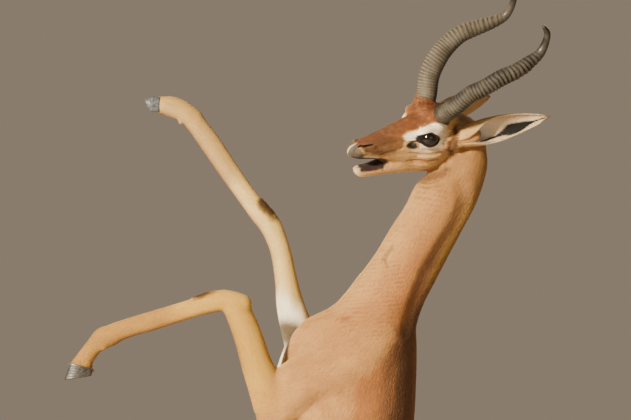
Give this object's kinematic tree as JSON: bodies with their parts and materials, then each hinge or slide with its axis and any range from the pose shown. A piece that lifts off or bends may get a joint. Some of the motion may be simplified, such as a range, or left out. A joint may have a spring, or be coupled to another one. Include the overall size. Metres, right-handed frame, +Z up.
{
  "type": "male gerenuk, life-size still model",
  "caption": "Life-size male gerenuk standing upright on its hind legs, one foreleg raised and one bent, on a flat rectangular base.",
  "frame": {"origin": "middle of the underside of the base", "axes": "+Z up, -Y the way the animal faces, +X its left side"},
  "size_m": [0.5, 0.9187, 2.0713],
  "materials": {
    "coat": "short tan fur with rust, white and dark markings",
    "horn": "ringed grey-brown horn, smooth dark tip",
    "hoof": "dark hoof horn",
    "eye": "wet dark eye",
    "base": "dark satin wood"
  },
  "bodies": {
    "root": {"belly": "coat", "chest": "coat", "head": "coat", "left_ear": "coat", "left_eye": "eye", "left_fore_cannon": "coat", "left_fore_left_claw": "hoof", "left_fore_pastern": "coat", "left_fore_right_claw": "hoof", "left_forearm": "coat", "left_hind_cannon": "coat", "left_hind_left_claw": "hoof", "left_hind_pastern": "coat", "left_hind_right_claw": "hoof", "left_horn": "horn", "left_shank": "coat", "left_thigh": "coat", "lower_jaw": "coat", "neck": "coat", "right_ear": "coat", "right_eye": "eye", "right_fore_cannon": "coat", "right_fore_left_claw": "hoof", "right_fore_pastern": "coat", "right_fore_right_claw": "hoof", "right_forearm": "coat", "right_hind_cannon": "coat", "right_hind_left_claw": "hoof", "right_hind_pastern": "coat", "right_hind_right_claw": "hoof", "right_horn": "horn", "right_shank": "coat", "right_thigh": "coat", "stand_base": "base", "tail": "coat"}
  },
  "joints": []
}
